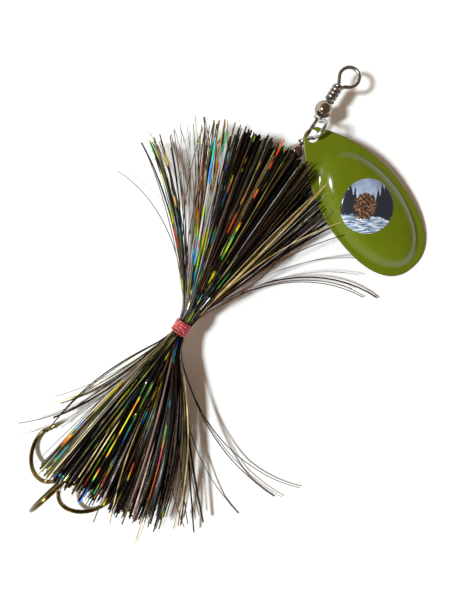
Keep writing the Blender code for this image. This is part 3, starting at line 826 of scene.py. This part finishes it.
def ribbons(name, paths, mat, stands_for):
    """All strands of one film as closed flat ribbons, each with its own roll and twist. The UV map "strand"
    holds the metres along each strand, and a row of its own for each."""
    verts, faces, marks = [], [], []
    base = 0
    for order, (pts, width, roll, twist) in enumerate(paths):
        _, side, up = frames(pts)
        along = np.concatenate([[0.0], np.cumsum(np.linalg.norm(np.diff(pts, axis=0), axis=1))]) * MM
        marks.append(np.repeat(np.column_stack([along, np.full(len(pts), 0.37 * order)]), 4, axis=0))
        a = roll + twist * np.linspace(0, 1, len(pts))
        across = np.cos(a)[:, None] * side + np.sin(a)[:, None] * up
        over = -np.sin(a)[:, None] * side + np.cos(a)[:, None] * up
        w, h = width / 2, FILM_HALF
        ring = np.stack([pts + across * w + over * h, pts - across * w + over * h,
                         pts - across * w - over * h, pts + across * w - over * h], axis=1)
        v, f = skin(ring, False, base)
        base += len(v)
        verts.append(v)
        faces += f
    obj = build(name, np.vstack(verts), faces, [mat], "shaft", stands_for, smooth=False)
    corner = np.empty(len(obj.data.loops), np.int32)
    obj.data.loops.foreach_get("vertex_index", corner)
    layer = obj.data.uv_layers.new(name="strand")
    layer.data.foreach_set("uv", np.vstack(marks)[corner].astype(np.float32).ravel())


def root_point(root_x, yaw_share):
    """Where a strand leaves the binding: its side of the bundle follows the way it fans."""
    y = ROOT_R * np.clip(yaw_share + rng.normal(0, 0.25), -0.97, 0.97)
    z = math.sqrt(ROOT_R ** 2 - y ** 2) * (2 * rng.random() - 1)
    return np.array([root_x, y, z])


def fan(paths, way, root_x, sides, ends, bend, lift, spread, wander, reach, ragged, mix):
    """Adds strands between two end angles in degrees. sides gives the angles at the bundle's two sides,
    bend the share of a strand's angle at its root and at its tip, and mix each film's count and width."""
    middle, half = (sides[0] + sides[1]) / 2, (sides[1] - sides[0]) / 2
    for film_name, (count, width) in mix.items():
        for _ in range(count):
            angle = ends[0] + (ends[1] - ends[0]) * rng.random()
            start = root_point(root_x, (angle - middle) / half)
            turn = math.radians(angle)
            yaw = (turn * bend[0] + rng.normal(0, wander * 0.3), turn * bend[1] + rng.normal(0, wander))
            bright = 1.8 if film_name not in ("black", "bronze", "umber") else 0.0
            rise = math.radians(rng.normal(lift + bright, spread))
            length = reach * (1 - ragged * rng.random() ** 2)
            pts = strand(start, yaw, rise, length, abs(rng.normal(0.02, 0.05)), way)
            paths.setdefault(film_name, []).append(
                (pts, width * (0.7 + 0.6 * rng.random()), rng.normal(0, 0.5), rng.normal(0, 1.0)))


def stray(paths, way, root_x, film_name, a0, a1, length, width, rise=-1.0):
    """One listed strand, from its angle at the binding to its angle at the tip."""
    start = np.array([root_x, ROOT_R * 0.9 * np.sign(a0), 0.4])
    pts = strand(start, (math.radians(a0), math.radians(a1)), math.radians(rise), length, 0.12, way)
    paths.setdefault(film_name, []).append((pts, width, 0.2, 0.5))


front, rear = {}, {}
FX, RX = -102.7, -107.7     # where the front and rear strands leave the binding
FS, RS = (-16, 34), (-30, 16)
fan(front, 1, FX, FS, (-6.5, 17), (1.05, 0.95), -1.0, 4.0, 0.035, 69.5, 0.07, {
    "black": (440, 0.6), "umber": (90, 0.5), "olive": (24, 0.4), "gold": (10, 0.4), "hologram": (54, 0.5),
    "silver": (7, 0.3), "bronze": (16, 0.4)})
fan(front, 1, FX, FS, (17, 27), (0.95, 1.08), -0.5, 3.0, 0.1, 71, 0.13, {
    "black": (6, 0.45), "bronze": (5, 0.35), "olive": (5, 0.4), "gold": (5, 0.35), "hologram": (7, 0.5),
    "silver": (8, 0.3), "pearl": (13, 0.5), "umber": (3, 0.35)})
fan(front, 1, FX, FS, (26, 35), (0.95, 1.1), -0.5, 3.0, 0.16, 69, 0.1, {
    "black": (4, 0.35), "bronze": (5, 0.3), "olive": (3, 0.3), "silver": (6, 0.2), "umber": (2, 0.3)})
fan(front, 1, FX, FS, (35, 44), (0.88, 1.3), -1.5, 1.6, 0.09, 65, 0.07, {
    "black": (9, 0.5), "bronze": (5, 0.45), "olive": (4, 0.4), "gold": (1, 0.35), "hologram": (3, 0.5),
    "silver": (3, 0.3)})
fan(front, 1, FX, FS, (-20, -6), (1.0, 1.0), -2.5, 2.4, 0.05, 68, 0.1, {
    "black": (44, 0.5), "bronze": (6, 0.35), "olive": (6, 0.35), "gold": (1, 0.35), "silver": (6, 0.25),
    "umber": (6, 0.4)})
for film_name, a0, a1, length, width, rise in (
        ("bronze", 37, 92, 62, 0.3, -4), ("silver", 30, 66, 69, 0.3, 0), ("silver", 26, 52, 68, 0.25, 2),
        ("bronze", 14, 46, 71, 0.3, 3), ("olive", 10, 36, 72, 0.3, 3), ("bronze", 38, 12, 68, 0.3, 3),
        ("bronze", 18, 42, 72, 0.35, 3), ("umber", 34, 2, 67, 0.35, 3), ("pearl", 30, 12, 68, 0.5, 3),
        ("black", -23, -93, 74, 0.55, -4), ("bronze", -24, -80, 63, 0.3, -4),
        ("black", -25, -88, 68, 0.3, -5),
        ("silver", -20, -66, 71, 0.25, -3), ("silver", -22, -60, 72, 0.25, -4),
        ("umber", -18, -46, 70, 0.35, 0), ("gold", -13, -44, 72, 0.35, 2), ("bronze", -32, 16, 61, 0.45, -2),
        ("silver", -24, -70, 66, 0.25, -3),
        ("gold", -13, -9, 71, 0.8, 5), ("gold", -8, -16, 66, 0.3, 5), ("black", -16, -32, 70, 0.7, 0),
        ("black", -17, -35, 68, 0.6, -2), ("silver", -12, -27, 70, 0.3, 0), ("black", -19, -30, 64, 0.5, -1)):
    stray(front, 1, FX, film_name, a0, a1, length, width, rise)

fan(rear, -1, RX, RS, (-19, 7), (1.7, 0.7), -1.0, 4.0, 0.045, 66, 0.09, {
    "black": (390, 0.6), "umber": (80, 0.5), "olive": (20, 0.4), "gold": (9, 0.4), "hologram": (36, 0.5),
    "silver": (3, 0.3), "bronze": (12, 0.4)})
fan(rear, -1, RX, RS, (-7, 7), (1.2, 0.9), 4.5, 1.2, 0.02, 62, 0.08, {
    "black": (130, 0.6), "umber": (14, 0.5), "hologram": (10, 0.5), "gold": (2, 0.4)})
fan(rear, -1, RX, RS, (4, 11), (1.35, 0.8), 2.0, 2.2, 0.04, 67, 0.12, {
    "black": (10, 0.45), "bronze": (10, 0.4), "olive": (10, 0.4), "gold": (10, 0.35), "hologram": (14, 0.55),
    "silver": (10, 0.35), "pearl": (15, 0.5), "umber": (10, 0.4)})
fan(rear, -1, RX, RS, (12, 24), (0.8, 1.5), -2.5, 2.0, 0.12, 60, 0.4, {
    "black": (3, 0.35), "gold": (2, 0.3), "olive": (3, 0.3), "silver": (2, 0.2), "bronze": (3, 0.3)})
fan(rear, -1, RX, RS, (-28, -16), (1.6, 0.6), -2.5, 2.2, 0.07, 71, 0.1, {
    "black": (14, 0.5), "bronze": (6, 0.4), "olive": (3, 0.35), "gold": (5, 0.4), "hologram": (2, 0.4)})
for film_name, a0, a1, length, width, rise in (
        ("black", -46, -113, 77, 0.45, -8), ("black", -46, -92, 72, 0.5, -8),
        ("bronze", -47, -96, 74, 0.3, -8),
        ("black", -34, -78, 72, 0.4, -7), ("black", -38, -44, 68, 0.9, -2), ("black", -38, -36, 72, 0.7, -3),
        ("bronze", -36, -44, 66, 0.4, -3), ("black", -31, -42, 69, 0.45, -3), ("umber", -20, -56, 69, 0.4, 1),
        ("olive", -38, -14, 66, 0.5, -2), ("bronze", -42, -20, 67, 0.4, -2),
        ("black", 32, 0, 58, 0.5, 1), ("olive", 30, 4, 57, 0.35, 1), ("black", 12, 37, 53, 0.7, 1),
        ("bronze", 12, 50, 66, 0.3, 0), ("silver", 10, 44, 68, 0.3, -2), ("bronze", 14, 42, 48, 0.45, 1),
        ("olive", 12, 46, 46, 0.4, 0), ("gold", -4, -24, 69, 0.5, 6), ("gold", -20, -2, 62, 0.5, 5),
        ("gold", -24, -16, 74, 0.5, 4), ("umber", -4, -12, 74, 0.5, 0)):
    stray(rear, -1, RX, film_name, a0, a1, length, width, rise)

for prefix, groups, node, slot_name in (("front_tinsel", front, "skirt_front", "tinsel_front"),
                                        ("rear_tinsel", rear, "skirt_rear", "tinsel_rear")):
    for film_name, paths in groups.items():
        stands_for = [node] if film_name == "black" else []
        ribbons(f"{prefix}_{film_name}", paths, FILMS[film_name], stands_for)


# ---------- floor, light, camera ----------
def floor():
    m = Nodes("floor_paper", (0.93, 0.945, 0.96), 0.0, 0.9)
    m.to(m.mix(m.noise(6, 2), (0.92, 0.935, 0.95), (0.95, 0.96, 0.97)), "Base Color")
    mesh = bpy.data.meshes.new("floor")
    s = 3.0                 # half its side, in metres
    z = (REST_Z - 0.02) * MM
    mesh.from_pydata([(-s, -s, z), (s, -s, z), (s, s, z), (-s, s, z)], [], [(0, 1, 2, 3)])
    mesh.materials.append(m.mat)
    obj = bpy.data.objects.new("floor", mesh)
    bpy.context.scene.collection.objects.link(obj)


def area(name, direction, distance, size, energy, colour):
    """Round soft light that faces the middle of the lure. Distances are in metres."""
    light = bpy.data.lights.new(name, "AREA")
    light.shape = "DISK"
    light.size = size
    light.energy = energy
    light.color = colour
    obj = bpy.data.objects.new(name, light)
    d = unit(direction)
    target = np.array([-0.09, -0.005, 0.0])
    right = unit(np.cross((0.1, 0.9, 0.2), d))
    turned_to = Matrix(np.column_stack([right, np.cross(d, right), d]).tolist()).to_4x4()
    obj.matrix_world = Matrix.Translation(target + d * distance) @ turned_to
    bpy.context.scene.collection.objects.link(obj)


def studio():
    """Surroundings that are pale near the horizon and darker overhead, tipped a little towards -Y."""
    world = bpy.data.worlds.new("studio")
    world.use_nodes = True
    tree = world.node_tree
    sky = tree.nodes["Background"]
    where = tree.nodes.new("ShaderNodeTexCoord")
    lift = tree.nodes.new("ShaderNodeVectorMath")
    lift.operation = "DOT_PRODUCT"
    lift.inputs[1].default_value = (0.05, -0.27, 1.0)
    ramp = tree.nodes.new("ShaderNodeValToRGB")
    tree.links.new(where.outputs["Generated"], lift.inputs[0])
    tree.links.new(lift.outputs["Value"], ramp.inputs[0])
    tree.links.new(ramp.outputs[0], sky.inputs[0])
    pale, dark = ramp.color_ramp.elements
    pale.position = 0.28
    pale.color = (1.0, 0.88, 0.76, 1)
    dark.position = 0.46
    dark.color = (0.21, 0.13, 0.08, 1)
    sky.inputs[1].default_value = 1.0
    bpy.context.scene.world = world


def camera(place, turn, lens):
    """Looks straight down from place, turned about the vertical."""
    made = bpy.data.objects.new("camera", bpy.data.cameras.new("camera"))
    made.data.lens = lens
    made.data.sensor_width = 36
    made.data.clip_start = 0.01
    made.matrix_world = Matrix.Translation(place) @ Matrix.Rotation(turn, 4, "Z")
    bpy.context.scene.collection.objects.link(made)
    bpy.context.scene.camera = made


KEY_ELEVATION = math.radians(55)
KEY_WAY = (-0.71 * math.cos(KEY_ELEVATION), 0.70 * math.cos(KEY_ELEVATION), math.sin(KEY_ELEVATION))
floor()
area("key", KEY_WAY, 2.7, 0.42, 84.0, (0.92, 0.98, 1.0))
studio()
bpy.context.scene.view_settings.view_transform = "Standard"
camera((-0.0888, -0.0073, 0.196), math.radians(-57.08), 33.6)
